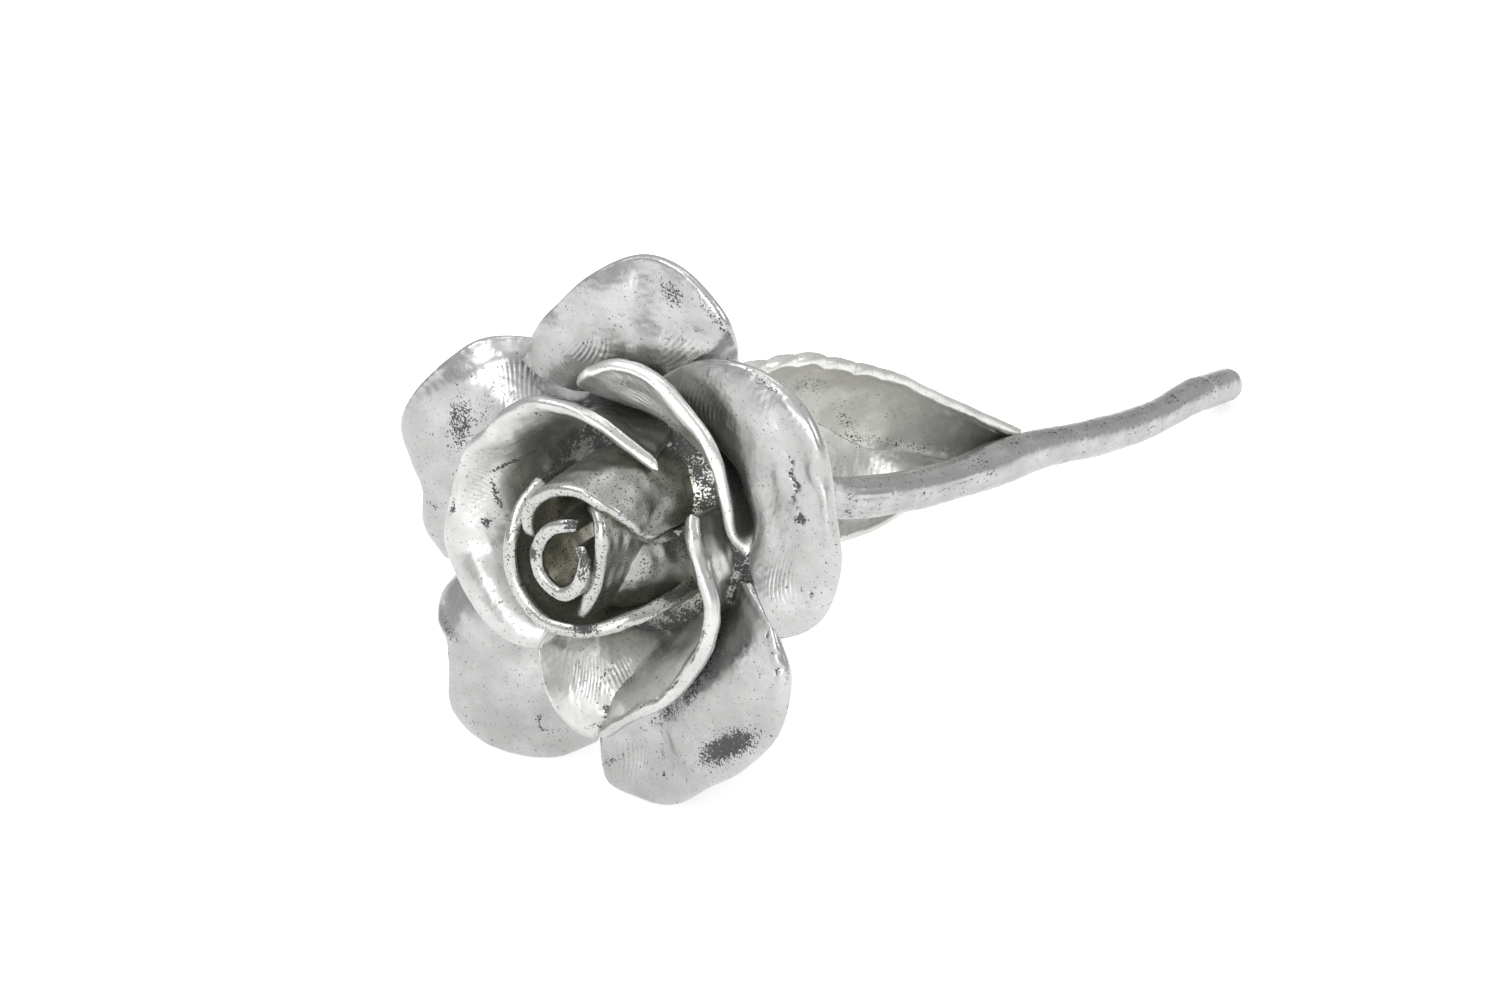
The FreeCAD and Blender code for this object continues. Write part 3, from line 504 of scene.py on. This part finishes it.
def worked_sheet(surface, marks, grid, seed, edge_shape=None):
    """The two faces of a sheet as grids of points, and how its marks colour them."""
    radius = marks["sheet"] / 2
    s, t = sheet_grid(surface, *grid, radius)
    middle = surface(s, t)
    from_rim = lengths_along(middle)
    from_rim = from_rim[:, -1:] - from_rim
    from_root = from_rim[:, :1] - from_rim
    across = lengths_along(np.swapaxes(middle, 0, 1)).T
    from_side = np.minimum(across, across[-1:] - across)
    if edge_shape is not None:
        middle = middle + edge_shape(s, t, from_rim)
    near = Marks(surface, middle, seed + 8)

    # The bends and dents move both faces.
    bend = relief(middle, seed, BENT)
    for dent in marks.get("dents", ()):
        bend -= dent[5] * near.blob(*dent[:5])
    bend -= marks.get("curl", 0.0) * np.clip(1 - from_rim / CURL_REACH, 0, 1) ** 2
    bend += marks.get("bulge", 0.0) * np.exp(-((from_rim - BULGE_PLACE) / BULGE_WIDTH) ** 2)
    calm = lip_round(from_root, CALM_ROOT)
    middle = middle + grid_normals(middle) * (bend * calm)[..., None]
    normal = grid_normals(middle)

    # The beads, prints and cracks are worked into the inner face.
    bead = marks.get("lip", 0.0) * np.exp(-(from_rim / LIP_WIDTH) ** 2)
    waver = 1 + 0.25 * random_field(seed + 4, 5)(middle)
    for first, last, distance, width, height in marks.get("beads", ()):
        shape = np.exp(-((from_rim - distance * waver) / width) ** 2)
        bead = bead + height * shape * smooth_window(s, first, last)
    ridges = np.zeros_like(s)
    warp = random_field(seed + 5, 6)(middle)
    for mark in marks.get("prints", ()):
        ridges += finger_print(near, middle, warp, mark)
    grooves = np.zeros_like(s)
    ragged = np.clip(1.05 + 0.5 * random_field(seed + 9, 1.3)(middle), 0.15, 2)
    for crack in marks.get("cracks", ()):
        groove = near.line(*crack[:4], crack[4] * ragged)
        grooves = np.maximum(grooves, groove * crack[5])
    grime_and_shade = np.zeros_like(s)
    for smear in marks["smears"]:
        grime_and_shade += smear[5] * near.blob(*smear[:5], 1.5)
    grime_and_shade += 1.1 * np.clip(grooves / BLACK_CRACK, 0, 1) ** 2

    thick = radius * lip_round(from_rim, radius) * lip_round(from_side, radius)
    thick *= lip_round(from_root, radius)
    full = np.clip(thick / radius, 0, 1)
    hammered = relief(middle, seed + 2, HAMMERED)
    inner = thick + full * (hammered + bead + PRINT_HEIGHT * ridges - grooves)
    outer = thick + full * (relief(middle, seed + 7, BACK_HAMMERED) + 0.5 * bead)
    front = middle + normal * inner[..., None]
    back = middle - normal * outer[..., None]
    edge = np.exp(-np.minimum(from_rim, from_side + 0.3) / EDGE_FADE)
    return {"front": front, "back": back,
            "values": {"ridge_and_shade": (ridges, ridges * 0), "grime_and_shade": (grime_and_shade, grime_and_shade * 0.15),
                       "edge": (edge, edge)}}


def quads_of(ids):
    """The four-cornered faces of a grid of vertex numbers."""
    return np.stack([ids[:-1, :-1], ids[:-1, 1:], ids[1:, 1:], ids[1:, :-1]], -1).reshape(-1, 4)


def sheet_piece(sheet):
    """Vertices, faces and grids of a closed sheet whose two faces share their border."""
    front, back = sheet["front"], sheet["back"]
    n, m = front.shape[:2]
    front_ids = np.arange(n * m).reshape(n, m)
    back_ids = front_ids.copy()
    back_ids[1:-1, 1:-1] = n * m + np.arange((n - 2) * (m - 2)).reshape(n - 2, m - 2)
    inside = (slice(1, -1), slice(1, -1))
    points = np.vstack([front.reshape(-1, 3), back[inside].reshape(-1, 3)])
    values = {key: np.concatenate([a.ravel(), b[inside].ravel()])
              for key, (a, b) in sheet["values"].items()}
    quads = np.vstack([quads_of(front_ids), quads_of(back_ids)[:, ::-1]])
    return {"points": points, "quads": quads, "tris": np.zeros((0, 3), int), "values": values,
            "grids": [(front_ids, grid_normals(points[front_ids])),
                      (back_ids, -grid_normals(points[back_ids]))]}


def tube_piece(rings, values):
    """A closed tube from rings of points, with each end drawn together to one point."""
    n, m = rings.shape[:2]
    middle = rings[1:-1].reshape(-1, 3)
    points = np.vstack([rings[0].mean(0), middle, rings[-1].mean(0)])
    ids = 1 + np.arange((n - 2) * m).reshape(n - 2, m)
    ids = np.hstack([ids, ids[:, :1]])
    last = len(points) - 1
    start = np.stack([np.zeros(m, int), ids[0, 1:], ids[0, :-1]], -1)
    end = np.stack([np.full(m, last), ids[-1, :-1], ids[-1, 1:]], -1)
    spread = {key: np.concatenate([[v[0].mean()], v[1:-1].ravel(), [v[-1].mean()]])
              for key, v in values.items()}
    tris = np.vstack([start, end])[:, ::-1]
    return {"points": points, "quads": quads_of(ids)[:, ::-1], "tris": tris, "values": spread,
            "grids": [(ids, -grid_normals(points[ids]))]}


def stem_row():
    """Lengths along the stem, closer together over its rounded end, with centres and radii."""
    end = np.array(STEM_LINE[-1])
    line = list(STEM_LINE)
    for share in (0.25, 0.5, 0.75, 1.0):
        line.append((*(end[:3] + unit(np.array(END_DIRECTION)) * END_LENGTH * share), end[3]))
    raw = curve(line, np.linspace(0, 1, 900))
    run = lengths_along(raw[:, :3])
    rounding = np.cos(np.linspace(0, math.pi / 2, TIP_RINGS + 1))[1:]
    lengths = np.concatenate([np.linspace(0, run[-1] - STEM_TIP, STEM_GRID[0] - TIP_RINGS),
                              run[-1] - STEM_TIP * rounding])
    row = np.stack([np.interp(lengths, run, raw[:, k]) for k in range(4)], -1)
    return lengths, row[:, :3] + HEAD, row[:, 3]


def worked_stem():
    """The stem: a hand-drawn rod with a swelling at the leaf, striations near the head and a band of
    painted shade along one side.
    """
    lengths, centre, radius = stem_row()
    forward = unit(np.gradient(centre, axis=0))
    side = unit(np.cross(forward, (0.0, 0.0, 1.0)))
    up = np.cross(side, forward)
    angle = np.linspace(0, 2 * math.pi, STEM_GRID[1], endpoint=False)
    ray = side[:, None] * np.cos(angle)[:, None] + up[:, None] * np.sin(angle)[:, None]
    closing = lip_round(lengths[-1] - lengths, STEM_TIP)
    closing[0] = 0.02                                    # the end that the hub hides
    surface = centre[:, None] + ray * radius[:, None, None]
    rough = 0.005 * random_field(STEM_SEED + 2, 0.9)(surface)
    streak = np.sin(angle * STRIAE + 1.5 * np.sin(angle * 3))[None, :] * np.ones((len(lengths), 1))
    near_head = np.clip(1.25 - lengths / STRIA_FADE, 0, 1)[:, None]
    uneven = 0.6 + 0.4 * random_field(STEM_SEED + 3, 6)(surface)
    striation = STRIA_HEIGHT * streak * near_head * uneven
    size = (radius[:, None] + relief(surface, STEM_SEED, ROLLED) + rough + striation) * closing[:, None]
    points = centre[:, None] + ray * size[..., None]
    patches = 0.25 * random_field(STEM_SEED + 4, 5)(surface) - 0.05
    grime_and_shade = np.clip(patches, 0, 1) + 0.25 * near_head
    # Painted shade: a dark band along one side of the stem, over the stretch by the leaf, goes into the
    # colour through the ridge value.
    shade = np.exp(-((angle - DARK_SIDE) / 0.4) ** 2)
    shade = shade * (1 + 0.5 * random_field(STEM_SEED + 5, 5)(surface))
    band = shade * smooth_window(lengths, *DARK_STRETCH, 3)[:, None]
    # The striations and the painted shade of the band, as one value.
    striae_and_shade = -streak * near_head * 0.5 - band
    return tube_piece(points, {"ridge_and_shade": striae_and_shade, "grime_and_shade": grime_and_shade * 0.6, "edge": np.zeros_like(grime_and_shade)})


def worked_hub():
    """The turned hub that the petals and the stem are joined to, lightly hammered."""
    outline = curve(HUB_OUTLINE, np.linspace(0, 1, HUB_GRID[0]))
    outline[[0, -1], 0] = 0.0
    angle = np.linspace(2 * math.pi, 0, HUB_GRID[1], endpoint=False)
    radius, height = outline[:, :1], outline[:, 1:2] + 0 * angle
    points = from_head(np.stack([BUD_OFFSET[0] + radius * np.cos(angle),
                                 BUD_OFFSET[1] + radius * np.sin(angle), height], -1))
    normal = grid_normals(np.concatenate([points, points[:, :1]], 1))[:, :-1]
    dents = relief(points, HUB_SEED, HUB_HAMMERED)
    dents[[0, -1]] = 0
    points = points - normal * dents[..., None]
    # Painted shade: between these heights the hub shows through the gaps between the petals, and it is
    # painted black there.
    shoulder = smooth_window(outline[:, 1], *HUB_BLACK, 1.0)[:, None]
    grime_and_shade = shoulder * (1.1 + 0.2 * random_field(HUB_SEED + 3, 1.5)(points))
    grime_and_shade = np.clip(grime_and_shade + 0.2 * random_field(HUB_SEED + 2, 4)(points), 0, 1.3)
    zero = np.zeros_like(grime_and_shade)
    return tube_piece(points, {"ridge_and_shade": zero, "grime_and_shade": grime_and_shade, "edge": zero})


def scalloped(s, t, from_rim):
    """Seven shallow scallops filed into the outer half of the leaf's upper margin."""
    shift = np.zeros(s.shape + (3,))
    wave = np.abs(np.sin(math.pi * (s - 0.5) / SCALLOP)) ** 0.7
    outer_half = smooth_window(s, 0.5, 0.98, 0.01)
    shift[..., 2] = -SCALLOP_DEPTH * (1 - wave) * outer_half * np.exp(-from_rim / 1.0)
    return shift


# ---- how shut in each place is -------------------------------------------------------------
STRIDE = 5               # the shelter is worked out at every fifth row and column
REACH = 9.0              # how far a wall still shelters a place
RAYS = 20
LIFT = 0.12              # the rays start this far off the surface


def coarse_index(count):
    """Every STRIDE-th number below a count, and the last one."""
    return np.unique(np.append(np.arange(0, count, STRIDE), count - 1))


def coarse_walls(pieces):
    """All the surfaces, thinned out, as one tree that rays can be cast at."""
    walls, faces, used = [], [], 0
    for piece in pieces.values():
        for ids, _ in piece["grids"]:
            coarse = ids[np.ix_(coarse_index(ids.shape[0]), coarse_index(ids.shape[1]))]
            walls.append(piece["points"][coarse].reshape(-1, 3))
            faces.append(quads_of(np.arange(coarse.size).reshape(coarse.shape)) + used)
            used += coarse.size
    return BVHTree.FromPolygons(np.vstack(walls).tolist(), np.vstack(faces).tolist())


def ray_fan():
    """Directions spread over the half space above a surface, most of them steep."""
    k = np.arange(RAYS) + 0.5
    lean = np.sqrt(k / RAYS)
    spin = k * math.pi * (3 - math.sqrt(5))
    return np.stack([lean * np.cos(spin), lean * np.sin(spin), np.sqrt(1 - lean ** 2)], -1)


def how_shut(tree, start, ways):
    """From 0, where no ray meets a wall within its reach, towards 1 where all meet one at once."""
    shut = 0.0
    for way in ways:
        distance = tree.ray_cast(start, way, REACH)[3]
        if distance is not None:
            shut += 1 - distance / REACH
    return shut / RAYS


def shelter(pieces):
    """Gives every piece a value from 0 in the open to 1 deep between other surfaces."""
    tree = coarse_walls(pieces)
    fan = ray_fan()
    for piece in pieces.values():
        total = np.zeros(len(piece["points"]))
        for ids, normals in piece["grids"]:
            rows, cols = coarse_index(ids.shape[0]), coarse_index(ids.shape[1])
            spot = np.ix_(rows, cols)
            normal = normals[spot].reshape(-1, 3)
            start = piece["points"][ids[spot]].reshape(-1, 3) + normal * LIFT
            helper = np.where(np.abs(normal[:, 2:]) < 0.9, (0.0, 0.0, 1.0), (1.0, 0.0, 0.0))
            right = unit(np.cross(helper, normal))
            ahead = np.cross(normal, right)
            ways = (fan[:, :1] * right[:, None] + fan[:, 1:2] * ahead[:, None]
                    + fan[:, 2:] * normal[:, None])
            hit = [how_shut(tree, *pair) for pair in zip(start.tolist(), ways.tolist())]
            coarse = np.array(hit).reshape(len(rows), len(cols))
            down = np.stack([np.interp(np.arange(ids.shape[0]), rows, column)
                             for column in coarse.T], -1)
            full = np.stack([np.interp(np.arange(ids.shape[1]), cols, line) for line in down])
            total[ids] = np.maximum(total[ids], full)
        piece["values"]["recess"] = total


# ---- metal ---------------------------------------------------------------------------------
def new_material(name):
    """An empty node material and its tree."""
    material = bpy.data.materials.new(name)
    material.use_nodes = True
    tree = material.node_tree
    tree.nodes.clear()
    return material, tree


class Nodes:
    """Short ways to add linked shader nodes."""

    def __init__(self, tree):
        self.tree = tree

    def node(self, kind, **settings):
        """A new node with some of its settings."""
        made = self.tree.nodes.new(kind)
        for key, value in settings.items():
            setattr(made, key, value)
        return made

    def feed(self, socket, value):
        """Links an output to an input, or sets the input to a plain value."""
        if isinstance(value, bpy.types.NodeSocket):
            self.tree.links.new(value, socket)
        else:
            socket.default_value = value

    def attribute(self, name):
        """A value that each vertex of the mesh carries."""
        return self.node("ShaderNodeAttribute", attribute_name=name).outputs["Fac"]

    def math(self, operation, a, b=0.0, clamp=False):
        """The result of an operation on two numbers or outputs."""
        made = self.node("ShaderNodeMath", operation=operation, use_clamp=clamp)
        self.feed(made.inputs[0], a)
        self.feed(made.inputs[1], b)
        return made.outputs[0]

    def noise(self, place, size, detail=3.0, rough=0.55, stretch=None):
        """Noise from 0 to 1 whose grains are about a size in millimetres across."""
        if stretch is not None:
            mapping = self.node("ShaderNodeMapping")
            mapping.inputs["Scale"].default_value = stretch
            self.feed(mapping.inputs["Vector"], place)
            place = mapping.outputs[0]
        made = self.node("ShaderNodeTexNoise")
        self.feed(made.inputs["Vector"], place)
        made.inputs["Scale"].default_value = 1 / (size * MM)
        made.inputs["Detail"].default_value = detail
        made.inputs["Roughness"].default_value = rough
        return made.outputs["Fac"]

    def rise(self, value, low, high, to_low=0.0, to_high=1.0):
        """Smoothly from one value to another as an input goes from low to high."""
        made = self.node("ShaderNodeMapRange", interpolation_type="SMOOTHSTEP")
        self.feed(made.inputs["Value"], value)
        made.inputs["From Min"].default_value = low
        made.inputs["From Max"].default_value = high
        made.inputs["To Min"].default_value = to_low
        made.inputs["To Max"].default_value = to_high
        return made.outputs["Result"]

    def mix(self, factor, a, b):
        """A colour from one to another, through the node's colour sockets."""
        made = self.node("ShaderNodeMix", data_type="RGBA")
        self.feed(made.inputs["Factor"], factor)
        self.feed(made.inputs[6], a)
        self.feed(made.inputs[7], b)
        return made.outputs[2]

    def surface(self, colour, rough, height, strength):
        """A shader with a colour, a roughness and a fine bump, joined to the material's output."""
        bump = self.node("ShaderNodeBump")
        bump.inputs["Strength"].default_value = strength
        bump.inputs["Distance"].default_value = BUMP_HEIGHT * MM
        self.feed(bump.inputs["Height"], height)
        shader = self.node("ShaderNodeBsdfPrincipled")
        self.feed(shader.inputs["Base Color"], colour)
        self.feed(shader.inputs["Roughness"], rough)
        self.feed(shader.inputs["Normal"], bump.outputs[0])
        out = self.node("ShaderNodeOutputMaterial")
        self.feed(out.inputs["Surface"], shader.outputs[0])
        return shader


SILVER = (0.56, 0.56, 0.555, 1)          # burnished
SATIN = (0.47, 0.47, 0.465, 1)           # brushed
RIM = (0.72, 0.72, 0.71, 1)              # rubbed bright along an edge
GROOVE_AND_SHADE = (0.24, 0.24, 0.23, 1)           # between two finger ridges and in the stem's striae, and the painted shade of the stem's band
PIT = (0.2, 0.2, 0.19, 1)
OLIVE = (0.45, 0.44, 0.36, 1)            # the thin film of tarnish
BLACK = (0.035, 0.035, 0.037, 1)         # the crust, which also paints shade on the hub and along the stem's band
SHUT_RANGE = (0.52, 1.05)                # the film starts and is full where it is this shut in
CRUST_RANGE = (0.34, 0.62)               # the same for the crust, with its painted shade, and what feeds it
CLOUD, GRAIN, SPECK, SCRATCH = 3.5, 0.45, 0.22, 0.9        # sizes of the metal's unevenness
POLISHED, DULL = 0.27, 0.36              # roughness of the burnished and of the brushed metal
BUMP_HEIGHT = 0.05


def tinted(colour, tint):
    return tuple(a * b for a, b in zip(colour, (*tint, 1)))


def silver_metal(name, tint, dulling=1.0, streaks=None, tarnish_and_painted_light=0.0):
    """Cast and hand-finished silver with a dark patina left in its hollows.

    The tint multiplies the clean metal's colour and the dulling its roughness. Streaks stretch
    the specks, and the tarnish shifts the patina towards more or less sheltered places. On the
    leaf and on the bright inner petal, a high tint and a negative tarnish are painted light.
    """
    material, tree = new_material(name)
    n = Nodes(tree)
    place = n.node("ShaderNodeTexCoord").outputs["Object"]
    recess = n.attribute("recess")
    grime_and_shade = n.attribute("grime_and_shade")
    ridge_and_shade = n.attribute("ridge_and_shade")
    edge = n.attribute("edge")
    cloud = n.noise(place, CLOUD, 4)
    grain = n.noise(place, GRAIN, 3, 0.6)
    speck = n.noise(place, SPECK, 2, 0.5, streaks)
    scratch = n.noise(place, SCRATCH, 4, 0.7, (1.0, 0.12, 1.0))

    # The film is the warm grey tarnish of half sheltered places. The crust is nearly black: black
    # patina, and painted shade on the hub between the petals and along the stem's band.
    shut = n.math("ADD", recess, n.math("MULTIPLY", n.math("SUBTRACT", cloud, 0.5), 0.22))
    shut = n.math("SUBTRACT", shut, n.math("MULTIPLY", edge, 0.3))
    shut = n.math("ADD", shut, tarnish_and_painted_light)
    film = n.rise(shut, *SHUT_RANGE)
    crust_and_shade_feed = n.math("ADD", n.math("MULTIPLY", grime_and_shade, 0.62),
                        n.math("MULTIPLY", n.math("SUBTRACT", speck, 0.5), 2.2))
    crust_and_shade_feed = n.math("ADD", crust_and_shade_feed, n.math("SUBTRACT", grain, 0.5))
    crust_and_shade_feed = n.math("ADD", crust_and_shade_feed, n.rise(recess, 0.65, 1.0, 0.0, 0.22))
    crust_and_shade_feed = n.math("ADD", crust_and_shade_feed, max(tarnish_and_painted_light, 0.0) * 0.4)
    crust_and_shade_feed = n.math("SUBTRACT", crust_and_shade_feed, n.math("MULTIPLY", ridge_and_shade, 0.14))
    crust_and_shade = n.rise(crust_and_shade_feed, *CRUST_RANGE)
    pits = n.math("MULTIPLY", n.rise(speck, 0.60, 0.68), n.rise(grain, 0.5, 0.6))

    colour = n.mix(n.rise(cloud, 0.35, 0.7), tinted(SATIN, tint), tinted(SILVER, tint))
    # Low ridge values go towards the groove colour: between finger ridges, in the stem's striae, and as
    # painted shade on the stem's band.
    groove = n.math("MULTIPLY", n.rise(ridge_and_shade, -0.1, -0.9), n.rise(grain, 0.38, 0.56, 0.25, 1.0))
    colour = n.mix(n.math("MULTIPLY", groove, 0.62), colour, GROOVE_AND_SHADE)
    colour = n.mix(n.math("MULTIPLY", edge, 0.25), colour, RIM)
    colour = n.mix(n.math("MULTIPLY", film, 0.65), colour, OLIVE)
    colour = n.mix(n.math("MULTIPLY", pits, 0.6), colour, PIT)
    colour = n.mix(n.math("MULTIPLY", crust_and_shade, 0.92), colour, BLACK)

    rough = n.rise(cloud, 0.3, 0.7, DULL * dulling, POLISHED * dulling)
    rough = n.math("ADD", rough, n.math("MULTIPLY", film, 0.14))
    rough = n.math("ADD", rough, n.math("MULTIPLY", crust_and_shade, 0.22))
    rough = n.math("ADD", rough, n.math("MULTIPLY", n.math("SUBTRACT", grain, 0.5), 0.12))
    rough = n.math("SUBTRACT", rough, n.math("MULTIPLY", edge, 0.08), clamp=True)

    height = n.math("ADD", n.math("MULTIPLY", grain, 0.5), n.math("MULTIPLY", speck, 0.35))
    height = n.math("ADD", height, n.math("MULTIPLY", scratch, 0.3))
    height = n.math("SUBTRACT", height, n.math("MULTIPLY", pits, 0.8))
    shader = n.surface(colour, rough, height, 0.55)
    n.feed(shader.inputs["Metallic"], n.math("SUBTRACT", 1.0, n.math("MULTIPLY", crust_and_shade, 0.45)))
    return material


def write_piece(name, piece, material):
    """Makes the mesh object that stands in for one CAD node."""
    mesh = bpy.data.meshes.new(name)
    loops = np.concatenate([piece["quads"].ravel(), piece["tris"].ravel()])
    sides = np.concatenate([np.full(len(piece["quads"]), 4), np.full(len(piece["tris"]), 3)])
    mesh.vertices.add(len(piece["points"]))
    mesh.vertices.foreach_set("co", (piece["points"] * MM).ravel())
    mesh.loops.add(len(loops))
    mesh.loops.foreach_set("vertex_index", loops)
    mesh.polygons.add(len(sides))
    mesh.polygons.foreach_set("loop_start", np.cumsum(sides) - sides)
    mesh.polygons.foreach_set("use_smooth", np.ones(len(sides), bool))
    mesh.update(calc_edges=True)
    for key, values in piece["values"].items():
        mesh.attributes.new(key, "FLOAT", "POINT").data.foreach_set("value", values)
    mesh.materials.append(material)
    thing = bpy.data.objects.new("worked_" + name, mesh)
    bpy.context.scene.collection.objects.link(thing)
    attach(thing, "root")
    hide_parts(name)


# ---- make the rose -------------------------------------------------------------------------
pieces = {}
for seed, (name, petal) in zip(PETAL_SEEDS, PETALS.items()):
    surface = partial(fan_surface, petal)
    pieces[name] = sheet_piece(worked_sheet(surface, petal, PETAL_GRID, seed))
for seed, (name, petal) in zip(BUD_SEEDS, BUD_PETALS.items()):
    surface = partial(bud_surface, petal)
    pieces[name] = sheet_piece(worked_sheet(surface, petal, BUD_GRID, seed))
pieces["leaf"] = sheet_piece(worked_sheet(leaf_surface, LEAF, LEAF_GRID, LEAF_SEED, scalloped))
pieces["stem"] = worked_stem()
pieces["receptacle"] = worked_hub()
shelter(pieces)

# A piece has the metal of its own name, or else that of the first word of its name.
METALS = {
    "outer": silver_metal("antique_silver_outer", (0.84, 0.84, 0.84)),
    "inner": silver_metal("antique_silver_inner", (1.03, 1.03, 1.02), 1.1, tarnish_and_painted_light=-0.12),
    # Painted light: this petal's metal is made much lighter than the rest, for a face that the lamps
    # leave in shade.
    "inner_petal_right": silver_metal("antique_silver_painted_light", (1.5, 1.5, 1.48), 1.2, tarnish_and_painted_light=-0.3),
    "bud": silver_metal("antique_silver_bud", (0.78, 0.78, 0.76), tarnish_and_painted_light=0.5),
    "receptacle": silver_metal("antique_silver_hub", (0.7, 0.7, 0.68), tarnish_and_painted_light=0.3),
    "stem": silver_metal("antique_silver_stem", (0.9, 0.9, 0.9), 0.95, (1.0, 0.25, 1.0)),
    # Painted light: the leaf's metal is made lighter too, for its inner face that the lamps leave in
    # shade.
    "leaf": silver_metal("antique_silver_leaf_painted_light", (1.3, 1.29, 1.24), 1.3, tarnish_and_painted_light=-0.35)}
for name, piece in pieces.items():
    metal = METALS.get(name, METALS[name.split("_")[0]])
    write_piece(name, piece, metal)

# ---- floor, lights and camera --------------------------------------------------------------
# Lengths are in metres from here on.
LOW, HIGH = [np.array(corner) for corner in CAD_BOX]
MIDDLE = (LOW + HIGH) / 2
FLOOR_HALF = 3.0
FLOOR_GAP = 0.0002
AIM_RIGHT = 0.0070       # the camera looks at a point this far to the right of the head
AIM_DOWN = 0.0002


def floor_material():
    """A pale matt floor that glows a little, so that it looks nearly white."""
    material, tree = new_material("pale_floor")
    n = Nodes(tree)
    place = n.node("ShaderNodeTexCoord").outputs["Object"]
    mottle = n.noise(place, 4.0, 3)
    colour = n.mix(mottle, (0.93, 0.93, 0.93, 1), (0.95, 0.95, 0.95, 1))
    shader = n.surface(colour, n.rise(mottle, 0.2, 0.8, 0.8, 0.9), mottle, 0.05)
    shader.inputs["Specular IOR Level"].default_value = 0.1
    shader.inputs["Emission Color"].default_value = (1, 1, 1, 1)
    shader.inputs["Emission Strength"].default_value = 0.35
    return material


floor_mesh = bpy.data.meshes.new("pale_floor")
corners = [(x * FLOOR_HALF, y * FLOOR_HALF, 0) for x, y in ((-1, -1), (1, -1), (1, 1), (-1, 1))]
floor_mesh.from_pydata(corners, [], [(0, 1, 2, 3)])
floor_mesh.materials.append(floor_material())
floor = bpy.data.objects.new("pale_floor", floor_mesh)
floor.location = (MIDDLE[0], MIDDLE[1], LOW[2] - FLOOR_GAP)
bpy.context.scene.collection.objects.link(floor)


def towards(azimuth, elevation):
    """The direction from the rose to a place at an azimuth and an elevation in degrees."""
    a, e = math.radians(azimuth), math.radians(elevation)
    return Vector((math.sin(a) * math.cos(e), -math.cos(a) * math.cos(e), math.sin(e)))


# The camera stands to the right of the flower's face and looks down on it.
AZIMUTH, ELEVATION, DISTANCE = 35, 24, 0.5
BACK = towards(AZIMUTH, ELEVATION)
RIGHT = Vector((math.cos(math.radians(AZIMUTH)), math.sin(math.radians(AZIMUTH)), 0))
UP = BACK.cross(RIGHT)
eye = Vector(HEAD * MM) + RIGHT * AIM_RIGHT - UP * AIM_DOWN + BACK * DISTANCE
camera_data = bpy.data.cameras.new("camera")
camera_data.lens = 120
camera_data.sensor_width = 36
camera_data.clip_start = 0.01
camera = bpy.data.objects.new("camera", camera_data)
camera.matrix_world = Matrix.Translation(eye) @ Matrix((RIGHT, UP, BACK)).transposed().to_4x4()
bpy.context.scene.collection.objects.link(camera)
bpy.context.scene.camera = camera


def soft_box(name, azimuth, elevation, distance, size, power):
    """A square area light aimed at the rose."""
    back = towards(azimuth, elevation)
    data = bpy.data.lights.new(name, "AREA")
    data.shape = "SQUARE"
    data.size = size
    data.energy = power
    lamp = bpy.data.objects.new(name, data)
    lamp.location = Vector(MIDDLE) + back * distance
    lamp.rotation_euler = (-back).to_track_quat("-Z", "Y").to_euler()
    bpy.context.scene.collection.objects.link(lamp)


soft_box("key_light", -30, 45, 0.7, 0.35, 1.2)
soft_box("side_light", 100, 30, 0.7, 0.30, 0.9)
soft_box("top_light", 40, 85, 0.8, 0.30, 0.4)
soft_box("front_light", 12, 12, 0.7, 0.40, 1.8)

# The sky is brighter overhead than at the horizon.
world = bpy.data.worlds.new("studio")
world.use_nodes = True
sky = Nodes(world.node_tree)
way = sky.node("ShaderNodeTexCoord").outputs["Generated"]
split = sky.node("ShaderNodeSeparateXYZ")
sky.feed(split.inputs[0], way)
backdrop = world.node_tree.nodes["Background"]
backdrop.inputs["Color"].default_value = (1, 1, 1, 1)
sky.feed(backdrop.inputs["Strength"], sky.rise(split.outputs["Z"], 0.0, 0.9, 0.55, 0.90))
bpy.context.scene.world = world
bpy.context.scene.view_settings.view_transform = "Standard"

bpy.context.view_layer.update()
